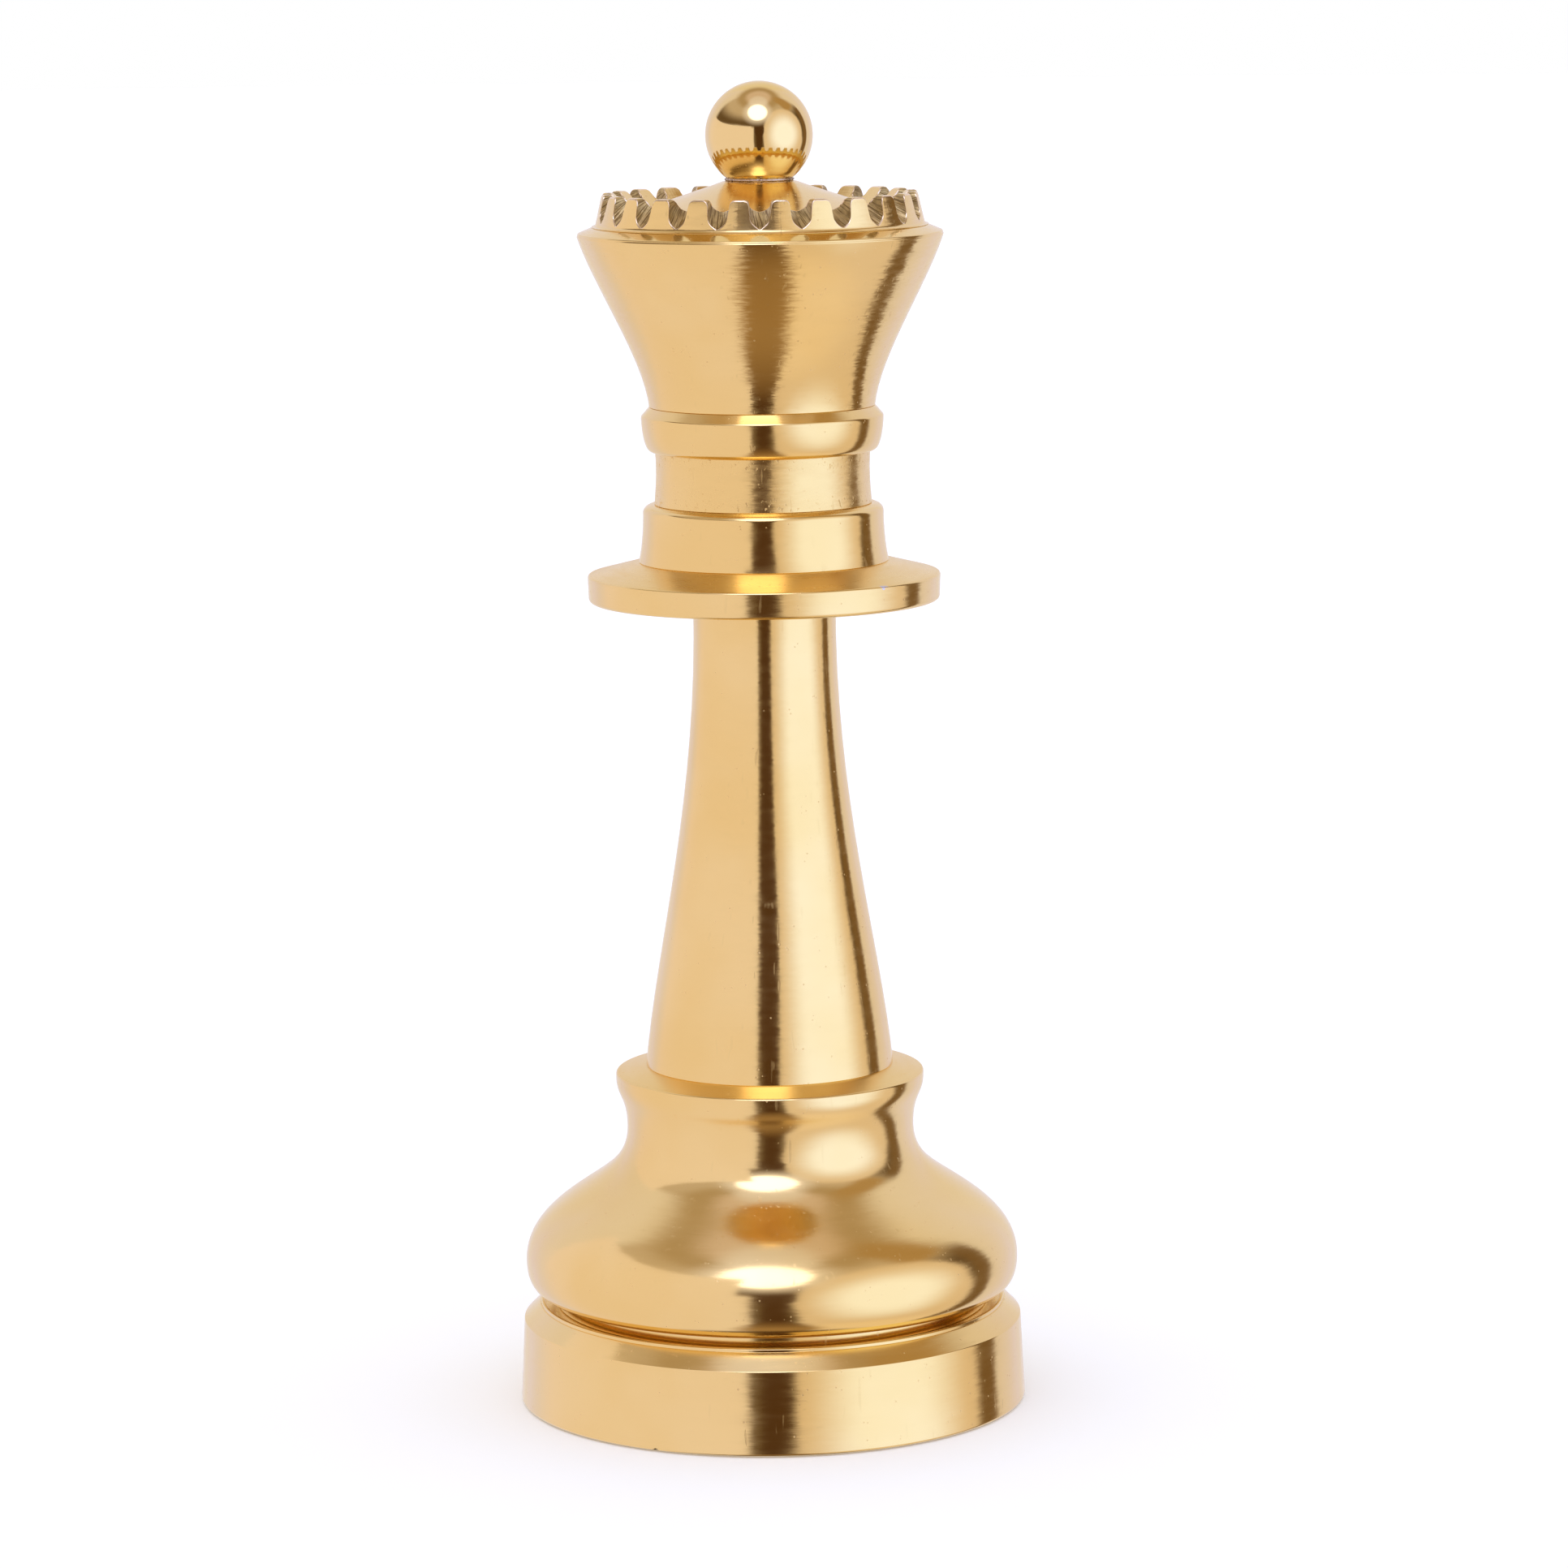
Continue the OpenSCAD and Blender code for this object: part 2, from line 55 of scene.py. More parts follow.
class Graph:
    """Short-hand for building one node tree."""

    def __init__(self, tree):
        self.tree = tree
        tree.nodes.clear()

    def node(self, kind, **settings):
        n = self.tree.nodes.new(kind)
        for key, value in settings.items():
            setattr(n, key, value)
        return n

    def feed(self, socket, value):
        if isinstance(value, Value):
            self.tree.links.new(value.socket, socket)
        elif value is not None:
            socket.default_value = value

    def math(self, op, *args):
        n = self.node("ShaderNodeMath", operation=op)
        for i, a in enumerate(args):
            self.feed(n.inputs[i], a)
        return Value(self, n.outputs[0])

    def vector(self, op, *args):
        n = self.node("ShaderNodeVectorMath", operation=op)
        for i, a in enumerate(args):
            self.feed(n.inputs["Scale" if op == "SCALE" and i else i], a)
        return Value(self, n.outputs["Value" if op in ("DOT_PRODUCT", "DISTANCE") else "Vector"])

    def join(self, x, y, z):
        n = self.node("ShaderNodeCombineXYZ")
        for i, a in enumerate((x, y, z)):
            self.feed(n.inputs[i], a)
        return Value(self, n.outputs[0])

    def split(self, v):
        n = self.node("ShaderNodeSeparateXYZ")
        self.feed(n.inputs[0], v)
        return [Value(self, o) for o in n.outputs]

    def ramp(self, x, a, b, lo=0.0, hi=1.0, smooth=True):
        """From lo at x = a to hi at x = b, held outside them."""
        n = self.node("ShaderNodeMapRange", interpolation_type="SMOOTHSTEP" if smooth else "LINEAR")
        for i, v in enumerate((x, a, b, lo, hi)):
            self.feed(n.inputs[i], v)
        return Value(self, n.outputs[0])

    def mix(self, t, a, b):
        """Colour a at t = 0, colour b at t = 1."""
        n = self.node("ShaderNodeMix", data_type="RGBA")
        self.feed(n.inputs[0], t)
        for socket, v in ((n.inputs[6], a), (n.inputs[7], b)):
            self.feed(socket, v if isinstance(v, Value) else (*v, 1.0))
        return Value(self, n.outputs[2])

    def noise(self, vec, scale, detail=2.0, rough=0.5, color=False):
        n = self.node("ShaderNodeTexNoise", noise_dimensions="3D")
        self.feed(n.inputs["Vector"], vec)
        n.inputs["Scale"].default_value = scale
        n.inputs["Detail"].default_value = detail
        n.inputs["Roughness"].default_value = rough
        return Value(self, n.outputs["Color" if color else "Fac"])

    def voronoi(self, vec, scale):
        n = self.node("ShaderNodeTexVoronoi")
        self.feed(n.inputs["Vector"], vec)
        n.inputs["Scale"].default_value = scale
        return Value(self, n.outputs["Distance"])

    def bump(self, height, distance, normal=None):
        n = self.node("ShaderNodeBump")
        n.inputs["Distance"].default_value = distance
        n.inputs["Strength"].default_value = 1.0
        self.feed(n.inputs["Height"], height)
        self.feed(n.inputs["Normal"], normal)
        return Value(self, n.outputs[0])

    def place(self):
        """Metres in the CAD frame."""
        n = self.node("ShaderNodeTexCoord")
        return Value(self, n.outputs["Object"])

    def attribute(self, name):
        n = self.node("ShaderNodeAttribute", attribute_name=name)
        return Value(self, n.outputs["Fac"])


class Value:
    """A socket that can be used in sums."""

    def __init__(self, graph, socket):
        self.graph, self.socket = graph, socket

    def __add__(self, o):
        return self.graph.math("ADD", self, o)

    def __radd__(self, o):
        return self.graph.math("ADD", o, self)

    def __sub__(self, o):
        return self.graph.math("SUBTRACT", self, o)

    def __rsub__(self, o):
        return self.graph.math("SUBTRACT", o, self)

    def __mul__(self, o):
        return self.graph.math("MULTIPLY", self, o)

    def __rmul__(self, o):
        return self.graph.math("MULTIPLY", o, self)

    def __truediv__(self, o):
        return self.graph.math("DIVIDE", self, o)


def new_material(name):
    m = bpy.data.materials.new(name)
    m.use_nodes = True
    g = Graph(m.node_tree)
    shader = g.node("ShaderNodeBsdfPrincipled")
    out = g.node("ShaderNodeOutputMaterial")
    g.tree.links.new(shader.outputs[0], out.inputs[0])
    return m, g, shader


GOLD = (0.90, 0.66, 0.225)
GOLD_DEEP = (0.875, 0.615, 0.185)
PALE = (0.94, 0.80, 0.58)
SILVER = (0.66, 0.63, 0.58)


def ring_space(g, around, along):
    """Noise space that runs round the turning axis and along the turned outline, without a seam.

    around is in units per radian, along in units per metre of outline.
    """
    p = g.place()
    x, y, z = g.split(p)
    r = g.math("SQRT", x * x + y * y + 1e-9)
    return p, g.join(x / r * around, y / r * around, g.attribute("along") * along), (x, y, z, r)


def gilt_material(name, rough, aniso=0.45, lines=1.0, wave=1.0, specks=1.0, pits=0.0,
                  spot=None, pale=0.0, fray=0.07, faced=0.0):
    """Plated, brushed and buffed metal: turning lines round the axis, soft waves, scratches, specks.

    lines, wave, specks and pits scale those marks. spot is a worn place as (centre, radius). pale mixes
    in PALE. fray leans the turning lines, and faced is roughness added on level cuts.
    """
    m, g, bsdf = new_material(name)
    p, fine, (x, y, z, r) = ring_space(g, 5.0, 2600.0)
    brush = g.noise(fine, 1.0, 3.0, 0.6)
    _, mid, _ = ring_space(g, 3.0, 420.0)
    band = g.noise(mid, 1.0, 2.0, 0.55)
    broad = g.noise(p, 38.0, 1.0, 0.5)
    # scratches: short, mostly along the turning direction, a few across it
    _, scr, _ = ring_space(g, 14.0, 900.0)
    scratch = g.ramp(g.noise(scr, 1.0, 1.0, 0.5), 0.70, 0.78)
    cross = g.vector("MULTIPLY", p, (900.0, 900.0, 120.0))
    nick = g.ramp(g.noise(cross, 1.0, 0.0, 0.5), 0.765, 0.80)
    # specks: tiny dust holes in the plating
    cell = g.voronoi(p, 620.0)
    rare = g.ramp(g.noise(p, 260.0, 1.0), 0.56, 0.66)
    speck = g.ramp(cell, 0.22, 0.08) * rare * specks
    height = brush * (0.55 * lines) + band * (0.45 * lines) - scratch * (0.5 * lines)
    height = height - speck * 1.6 - nick * 0.7
    rough_value = rough + g.ramp(band, 0.35, 0.7) * 0.05 * lines + scratch * (0.07 * lines)
    rough_value = rough_value + speck * 0.35 + nick * 0.1
    # level cuts are left duller than the turned sides
    if faced:
        shape = g.node("ShaderNodeNewGeometry")
        level = g.math("ABSOLUTE", g.split(Value(g, shape.outputs["True Normal"]))[2])
        rough_value = rough_value + g.ramp(level, 0.80, 0.93) * faced
    # casting pits, thickest at the two ends of the piece
    if pits:
        _, pit_space, _ = ring_space(g, 26.0, 620.0)
        hole = g.ramp(g.noise(pit_space, 1.0, 2.0, 0.6), 0.60, 0.72)
        ends = g.attribute("ends")
        hole = hole * g.ramp(ends + (g.noise(p, 120.0, 2.0) - 0.5) * 0.9, 0.35, 0.75) * pits
        height = height - hole * 5.0
        rough_value = rough_value + hole * 0.3
    surface = g.bump(broad, 0.22 * MM * wave)
    surface = g.bump(height, 0.0045 * MM, surface)
    # each turning line leans a little to one side, so edges in the reflections fray
    _, lean_space, _ = ring_space(g, 9.0, 1500.0)
    lean = (g.noise(lean_space, 1.0, 3.0, 0.7) - 0.5) * fray
    surface = g.vector("NORMALIZE", g.vector("ADD", surface, g.join(0.0 - y / r * lean, x / r * lean, 0.0)))
    tone = g.mix(g.ramp(g.noise(p, 21.0, 3.0), 0.35, 0.65), GOLD, GOLD_DEEP)
    if pale:
        tone = g.mix(pale, tone, PALE)
    if spot:
        centre, size = spot
        d = g.vector("DISTANCE", p, centre) / size + (g.noise(p, 700.0, 3.0) - 0.5) * 1.3
        worn = g.ramp(d, 1.0, 0.75)
        tone = g.mix(worn, tone, SILVER)
        rough_value = rough_value + worn * 0.08
    g.feed(bsdf.inputs["Base Color"], tone)
    g.feed(bsdf.inputs["Roughness"], rough_value)
    g.feed(bsdf.inputs["Normal"], surface)
    bsdf.inputs["Metallic"].default_value = 1.0
    if aniso:
        bsdf.inputs["Anisotropic"].default_value = aniso
        bsdf.inputs["Anisotropic Rotation"].default_value = 0.25
        tangent = g.node("ShaderNodeTangent", direction_type="RADIAL", axis="Z")
        g.tree.links.new(tangent.outputs[0], bsdf.inputs["Tangent"])
    return m


def mirror_material(name):
    """The ball: hand-polished to a mirror, with a few hairlines."""
    m, g, bsdf = new_material(name)
    p = g.place()
    hair = g.ramp(g.noise(g.vector("MULTIPLY", p, (260.0, 2400.0, 1800.0)), 1.0, 2.0, 0.6), 0.66, 0.74)
    smear = g.ramp(g.noise(p, 90.0, 3.0, 0.6), 0.55, 0.75)
    g.feed(bsdf.inputs["Base Color"], g.mix(smear * 0.5, GOLD, GOLD_DEEP))
    g.feed(bsdf.inputs["Roughness"], 0.07 + hair * 0.06 + smear * 0.03)
    g.feed(bsdf.inputs["Normal"], g.bump(g.noise(p, 170.0, 1.0) * 0.6 - hair * 0.02, 0.06 * MM))
    bsdf.inputs["Metallic"].default_value = 1.0
    return m


def filed_material(name):
    """Notch faces: bare, file-scored metal, grooves running through the notch, with painted shade in the
    deeper grooves.
    """
    m, g, bsdf = new_material(name)
    p = g.place()
    slant = g.attribute("across") + g.attribute("along") * 0.18 + (g.noise(p, 260.0, 2.0) - 0.5) * (0.5 * MM)
    lane = g.join(slant * 4200.0, g.attribute("along") * 150.0, 0.0)
    grooves = g.noise(lane, 1.0, 3.0, 0.65)
    deep = g.ramp(g.noise(lane, 0.55, 2.0, 0.6), 0.48, 0.62)
    grime = g.ramp(g.noise(p, 420.0, 3.0, 0.65), 0.40, 0.68)
    # the deeper file grooves are painted darker: painted shade down in the grooves
    tone = g.mix(deep, (0.68, 0.51, 0.18), (0.28, 0.18, 0.055))
    tone = g.mix(grime * 0.45, tone, (0.26, 0.17, 0.05))
    g.feed(bsdf.inputs["Base Color"], tone)
    g.feed(bsdf.inputs["Roughness"], 0.30 + grime * 0.2)
    g.feed(bsdf.inputs["Normal"], g.bump(grooves - deep * 1.1, 0.09 * MM))
    bsdf.inputs["Metallic"].default_value = 1.0
    return m


def worn_material(name):
    """Tooth tops: gilt with darker, streaky wear from filing and handling."""
    m, g, bsdf = new_material(name)
    p = g.place()
    x, y, z = g.split(p)
    lane = g.join(g.attribute("across") * 260.0, g.attribute("along") * 1500.0, z * 200.0)
    streak = g.ramp(g.noise(lane, 1.0, 3.0, 0.65), 0.42, 0.62)
    blotch = g.ramp(g.noise(p, 330.0, 3.0, 0.6), 0.42, 0.62)
    g.feed(bsdf.inputs["Base Color"], g.mix(streak * blotch, GOLD, (0.50, 0.37, 0.22)))
    g.feed(bsdf.inputs["Roughness"], 0.13 + streak * 0.14)
    g.feed(bsdf.inputs["Normal"], g.bump(g.noise(lane, 1.0, 3.0, 0.6) + blotch * 0.4, 0.03 * MM))
    bsdf.inputs["Metallic"].default_value = 1.0
    return m


def zinc_material(name):
    """Bright zinc plating with faint spangle and wear."""
    m, g, bsdf = new_material(name)
    p = g.place()
    patch = g.noise(p, 420.0, 3.0, 0.6)
    tone = g.mix(patch, (0.60, 0.63, 0.66), (0.72, 0.73, 0.72))
    tone = g.mix(g.ramp(g.noise(p, 130.0, 2.0), 0.5, 0.75) * 0.4, tone, (0.62, 0.60, 0.48))
    g.feed(bsdf.inputs["Base Color"], tone)
    g.feed(bsdf.inputs["Roughness"], 0.24 + patch * 0.16)
    g.feed(bsdf.inputs["Normal"], g.bump(g.noise(p, 1500.0, 2.0), 0.01 * MM))
    bsdf.inputs["Metallic"].default_value = 1.0
    return m


def washer_material(name):
    """Soft washer metal squeezed out under the ball."""
    m, g, bsdf = new_material(name)
    p = g.place()
    patch = g.noise(p, 700.0, 3.0, 0.6)
    g.feed(bsdf.inputs["Base Color"], g.mix(patch, (0.80, 0.68, 0.48), (0.50, 0.36, 0.20)))
    g.feed(bsdf.inputs["Roughness"], 0.18 + patch * 0.2)
    g.feed(bsdf.inputs["Normal"], g.bump(patch, 0.06 * MM))
    bsdf.inputs["Metallic"].default_value = 1.0
    return m


def felt_material(name):
    """Black wool felt, matted fibres."""
    m, g, bsdf = new_material(name)
    p = g.place()
    tangle = g.vector("SCALE", g.noise(p, 500.0, 2.0, 0.5, color=True), 0.004)
    fibre = g.noise(g.vector("ADD", p, tangle), 2600.0, 4.0, 0.7)
    clump = g.noise(p, 320.0, 3.0, 0.6)
    tone = g.mix(fibre, (0.012, 0.012, 0.014), (0.055, 0.055, 0.06))
    g.feed(bsdf.inputs["Base Color"], g.mix(clump * 0.4, tone, (0.03, 0.03, 0.034)))
    bsdf.inputs["Roughness"].default_value = 0.95
    bsdf.inputs["Sheen Weight"].default_value = 0.35
    bsdf.inputs["Sheen Roughness"].default_value = 0.5
    g.feed(bsdf.inputs["Normal"], g.bump(fibre * 0.7 + clump * 0.6, 0.25 * MM))
    return m


# ---------------------------------------------------------------- turned outlines

def section(node, least=24):
    """Corner points of a turned CAD node as (radius, height), in order round its section.

    A corner is a circle of mesh points: at least this many points share its radius and height.
    """
    mesh = frame["nodes"][node].data
    ids, points, count, cells = [], [], [], {}
    for v in mesh.vertices:
        r, z = math.hypot(v.co.x, v.co.y), v.co.z
        ci, cj = round(r / 1e-5), round(z / 1e-5)
        found = None
        for i in (ci - 1, ci, ci + 1):
            for j in (cj - 1, cj, cj + 1):
                for k in cells.get((i, j), ()):
                    if abs(points[k][0] - r) < 6e-6 and abs(points[k][1] - z) < 6e-6:
                        found = k
        if found is None:
            found = len(points)
            points.append((r, z))
            count.append(0)
            cells.setdefault((ci, cj), []).append(found)
        count[found] += 1
        ids.append(found)
    near = {}
    for e in mesh.edges:
        a, b = (ids[i] for i in e.vertices)
        if a != b and all(count[k] >= least or points[k][0] < 1e-5 for k in (a, b)):
            near.setdefault(a, set()).add(b)
            near.setdefault(b, set()).add(a)
    lowest = min(points[k][1] for k in near)
    at = max((k for k in near if points[k][1] < lowest + 1e-5), key=lambda k: points[k][0])
    walk, seen = [at], {at}
    step = max(near[at], key=lambda k: (points[k][1], points[k][0]))
    while step is not None:
        walk.append(step)
        seen.add(step)
        left = [k for k in near[step] if k not in seen]
        step = min(left, key=lambda k: math.dist(points[k], points[step])) if left else None
    return [np.array(points[k]) for k in walk]


def unit(v):
    return v / max(np.linalg.norm(v), 1e-12)


def smooth_outline(corners, round_r=0.35 * MM, sharp=22.0, step=2.0 * MM, bend=3.0):
    """A dense outline with normals: smooth curves through the points, small rounds at the sharp corners."""
    n = len(corners)
    seg = [corners[(i + 1) % n] - corners[i] for i in range(n)]
    length = [np.linalg.norm(s) for s in seg]
    u = [unit(s) for s in seg]

    def turn(a, b):
        return math.degrees(math.atan2(a[0] * b[1] - a[1] * b[0], float(a @ b)))

    corner = [abs(turn(u[i - 1], u[i])) > sharp for i in range(n)]
    # directions of the curve into and out of each point
    into, out = [None] * n, [None] * n
    for i in range(n):
        if corner[i]:
            continue
        a, b = length[i - 1], length[i]
        if max(a, b) < 4 * min(a, b):
            into[i] = out[i] = unit(u[i - 1] * b + u[i] * a)
    for i in range(n):
        if out[i] is None:
            j = (i + 1) % n
            t = into[j] if into[j] is not None and not corner[j] else None
            out[i] = u[i] if t is None else unit(2 * (u[i] @ t) * u[i] - t)
        if into[i] is None:
            t = out[i - 1] if not corner[i - 1] else None
            into[i] = u[i - 1] if t is None else unit(2 * (u[i - 1] @ t) * u[i - 1] - t)
    for i in range(n):
        if not corner[i] and max(length[i - 1], length[i]) >= 4 * min(length[i - 1], length[i]):
            t = out[i] if length[i] > length[i - 1] else into[i]
            into[i] = out[i] = t
    pts, nrm = [], []

    def add(p, t):
        if pts and np.linalg.norm(pts[-1] - p) < 2e-6:
            return
        pts.append(np.array(p))
        nrm.append(np.array([t[1], -t[0]]))

    cut = [0.0] * n
    for i in range(n):
        if corner[i] and corners[i][0] > 1e-6:
            a = math.radians(min(abs(turn(into[i], out[i])), 150.0))
            cut[i] = min(round_r * math.tan(a / 2), 0.4 * length[i - 1], 0.4 * length[i])
    for i in range(n):
        j = (i + 1) % n
        p, q, a, b = corners[i], corners[j], out[i], into[j]
        if cut[i] > 0:
            angle = math.radians(turn(into[i], a))
            rr = cut[i] / math.tan(abs(angle) / 2)
            side = math.copysign(1.0, angle)
            start = p - into[i] * cut[i]
            centre = start + side * rr * np.array([-into[i][1], into[i][0]])
            steps = 5
            for k in range(steps + 1):
                th = angle * k / steps
                c, s = math.cos(th), math.sin(th)
                t = np.array([c * into[i][0] - s * into[i][1], s * into[i][0] + c * into[i][1]])
                add(centre - side * rr * np.array([-t[1], t[0]]), t)
        elif corner[i]:
            add(p, into[i])
            pts.append(np.array(p))
            nrm.append(np.array([a[1], -a[0]]))
        else:
            add(p, a)
        bent = abs(turn(a, b))
        parts = 1 if bent < 0.5 else max(int(math.ceil(bent / bend)), int(math.ceil(length[i] / step)))
        for k in range(1, parts):
            t = k / parts
            h = (2 * t ** 3 - 3 * t ** 2 + 1, t ** 3 - 2 * t ** 2 + t,
                 3 * t ** 2 - 2 * t ** 3, t ** 3 - t ** 2)
            pos = h[0] * p + h[1] * length[i] * a + h[2] * q + h[3] * length[i] * b
            dh = (6 * t ** 2 - 6 * t, 3 * t ** 2 - 4 * t + 1, 6 * t - 6 * t ** 2, 3 * t ** 2 - 2 * t)
            tan = unit(dh[0] * p / length[i] + dh[1] * a + dh[2] * q / length[i] + dh[3] * b)
            if np.linalg.norm(pos - p) > cut[i] * 1.15 and np.linalg.norm(pos - q) > cut[j] * 1.15:
                add(pos, tan)
    return pts, nrm


def new_piece(name, verts, faces, normals=None, values=None, materials=(), face_material=None):
    mesh = bpy.data.meshes.new(name)
    mesh.from_pydata([tuple(v) for v in verts], [], faces)
    for m in materials:
        mesh.materials.append(m)
    if face_material is not None:
        mesh.polygons.foreach_set("material_index", face_material)
    mesh.polygons.foreach_set("use_smooth", [True] * len(faces))
    for key, data in (values or {}).items():
        mesh.attributes.new(key, "FLOAT", "POINT").data.foreach_set("value", np.asarray(data, np.float32))
    if normals is not None:
        mesh.normals_split_custom_set_from_vertices([tuple(v) for v in normals])
    mesh.validate()
    mesh.update()
    obj = bpy.data.objects.new(name, mesh)
    bpy.context.scene.collection.objects.link(obj)
    return obj


def spin(name, outline, normals, angles, materials, ends=None, warp=None):
    """A closed turned piece from its outline.

    ends(point) gives a value to keep with each point, and warp(points, normals) may move points.
    """
    n, cols = len(outline), len(angles)
    verts, nrm, along, faces, rings, end_values = [], [], [], [], [], []
    s = 0.0
    for i, (p, d) in enumerate(zip(outline, normals)):
        if i:
            s += float(np.linalg.norm(p - outline[i - 1]))
        ring = []
        pole = p[0] < 1e-6
        for th in angles[:1] if pole else angles:
            c, t = math.cos(th), math.sin(th)
            ring.append(len(verts))
            verts.append([p[0] * c, p[0] * t, p[1]])
            nrm.append([d[0] * c, d[0] * t, d[1]] if not pole else [0.0, 0.0, math.copysign(1.0, d[1])])
            along.append(s)
            if ends:
                end_values.append(ends(p))
        rings.append(ring)
    for i in range(n):
        a, b = rings[i], rings[(i + 1) % n]
        if len(a) == 1 and len(b) == 1:
            continue
        for j in range(cols):
            k = (j + 1) % cols
            if len(a) == 1:
                face = (a[0], b[k], b[j])
            elif len(b) == 1:
                face = (a[j], a[k], b[0])
            else:
                face = (a[j], a[k], b[k], b[j])
            faces.append(face)
    verts = np.array(verts)
    if warp is not None:
        verts, nrm = warp(verts, np.array(nrm))
    values = {"along": along}
    if ends:
        values["ends"] = end_values
    return new_piece(name, verts, faces, nrm, values, materials)


def even(count):
    return [FULL_TURN * k / count for k in range(count)]


def turned(node, name, material, round_r=0.35 * MM, cols=224, angles=None, rows=(), **more):
    """The visual casting of a turned CAD node; rows are extra heights with points on its outer side."""
    pts, nrm = smooth_outline(section(node), round_r)
    for z in rows:
        widest = max(p[0] for p in pts) * 0.98
        for i in range(1, len(pts)):
            a, b = pts[i - 1], pts[i]
            if min(a[0], b[0]) > widest and (a[1] - z) * (b[1] - z) < 0:
                t = (z - a[1]) / (b[1] - a[1])
                pts.insert(i, a * (1 - t) + b * t)
                nrm.insert(i, unit(nrm[i - 1] * (1 - t) + nrm[i] * t))
                break
    obj = spin(name, pts, nrm, angles or even(cols), [material], **more)
    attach(obj, "stack")
    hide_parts(node)
    return obj


# ---------------------------------------------------------------- materials in use

disc_lo, disc_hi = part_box("collar_disc")
disc_r = disc_hi.x
worn_az = math.radians(42)
worn_spot = (disc_r * math.sin(worn_az), -disc_r * math.cos(worn_az), disc_lo.z + 8.3 * MM)
gilt = gilt_material("gilt_brushed", rough=0.12, fray=0.045, faced=0.08)
gilt_bulb = gilt_material("gilt_buffed", rough=0.125, aniso=0.25, lines=0.6, specks=0.8, fray=0.04,
                          faced=0.16)
gilt_disc = gilt_material("gilt_disc", rough=0.13, faced=0.14, spot=(worn_spot, 2.0 * MM))
gilt_cast = gilt_material("gilt_cast", rough=0.20, aniso=0.35, lines=1.5, pits=1.3, fray=0.12)
gilt_rim = gilt_material("gilt_rim", rough=0.12, aniso=0.3, lines=1.0, fray=0.14)
gilt_dome = gilt_material("gilt_dome", rough=0.17, aniso=0.2, lines=0.8, pale=0.22)
mirror = mirror_material("gilt_mirror")
filed = filed_material("filed_metal")
# the edge rounds get a paler tone: a painted highlight along the burnished edges
burnished_painted_highlight = gilt_material("gilt_burnished_painted_highlight", rough=0.14, aniso=0.0, lines=0.4, wave=0.0, pale=0.45)
gilt_worn = worn_material("gilt_worn")
zinc = zinc_material("zinc_plate")
soft = washer_material("soft_washer")
felt = felt_material("wool_felt")

# ---------------------------------------------------------------- turned castings

plinth_lo, plinth_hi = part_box("plinth")
nick_turn = math.radians(-117.0)
nick = np.array((plinth_hi.x * math.cos(nick_turn), plinth_hi.x * math.sin(nick_turn), plinth_lo.z))


def nicked(verts, normals):
    """A small knock in the plinth's bottom edge."""
    d = np.linalg.norm((verts - nick) / (0.9 * MM, 0.9 * MM, 0.7 * MM), axis=1)
    push = np.clip(1.0 - d * d, 0.0, 1.0)
    verts[:, :2] *= (1.0 - push * 0.55 * MM / plinth_hi.x)[:, None]
    verts[:, 2] += push * 0.25 * MM
    normals[:, 2] -= push * 0.9
    return verts, normals / np.maximum(np.linalg.norm(normals, axis=1), 1e-9)[:, None]


nick_cols = [nick_turn + math.radians(d) for d in (-0.8, -0.5, -0.3, -0.15, 0.2, 0.35, 0.6, 0.85)]
turned("plinth", "plinth_casting", gilt, 0.5 * MM,
       angles=sorted({a % FULL_TURN for a in even(288) + nick_cols}),
       rows=[plinth_lo.z + h * MM for h in (0.62, 0.8, 1.0)], warp=nicked)
turned("base_bulb", "bulb_casting", gilt_bulb, 0.4 * MM, 288)
turned("stem", "stem_casting", gilt, 0.25 * MM, 192)
turned("collar_disc", "disc_plate", gilt_disc, 0.3 * MM, 256)
turned("lower_collar_ring", "collar_ring_lower", gilt, 0.3 * MM, 224)
neck_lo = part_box("lower_collar_ring")[1].z
neck_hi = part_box("upper_collar_ring")[0].z


def near_ends(p):
    """0 half way up the open part of the neck, 1 at the rings."""
    t = (p[1] - neck_lo) / (neck_hi - neck_lo)
    return min(1.0, max(0.0, abs(2 * t - 1)))


turned("neck_spool", "neck_casting", gilt_cast, 0.2 * MM, 224, ends=near_ends)
turned("upper_collar_ring", "collar_ring_upper", gilt, 0.3 * MM, 224)
turned("crown_cup", "cup_casting", gilt_rim, 0.3 * MM, 288)
turned("crown_dome", "dome_cap", gilt_dome, 0.2 * MM, 224)

# ---------------------------------------------------------------- coronet

TEETH = 24
LEAN = math.radians(33)                 # the file was held this far off level
ledge_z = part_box("crown_cup")[1].z
rim_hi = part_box("coronet_ring")[1]
crown_top = rim_hi.z
notch_floor = crown_top - 7.1 * MM
notch_front = 42.725 * MM
# outer wall and inner slope of the teeth, as (radius, height)
wall_lo, wall_hi = np.array([43.51 * MM, ledge_z + 1.2 * MM]), np.array([41.94 * MM, crown_top - 0.5 * MM])
slope_hi = np.array([39.35 * MM, crown_top - 0.2 * MM])
slope_lo = np.array([34.3 * MM, ledge_z + 3.0 * MM])


def wall_radius(z):
    return wall_lo[0] + (wall_hi[0] - wall_lo[0]) * (z - wall_lo[1]) / (wall_hi[1] - wall_lo[1])


def slope_radius(z):
    return slope_lo[0] + (slope_hi[0] - slope_lo[0]) * (z - slope_lo[1]) / (slope_hi[1] - slope_lo[1])


def notch_height(radius, w, h):
    """Height at which the notch surface, at offset w and depth h of its profile, meets a cone."""
    lo, hi = ledge_z, crown_top + 8 * MM
    for _ in range(40):
        z = (lo + hi) / 2
        rho = math.sqrt(radius(z) ** 2 - w * w)
        if (rho - notch_front) * math.sin(LEAN) + (z - notch_floor) * math.cos(LEAN) > h:
            hi = z
        else:
            lo = z
    return z


def curve(t, a, b, c):
    """Point at t on the quadratic curve from a to c, pulled towards b."""
    return (1 - t) ** 2 * a + 2 * t * (1 - t) * b + t * t * c


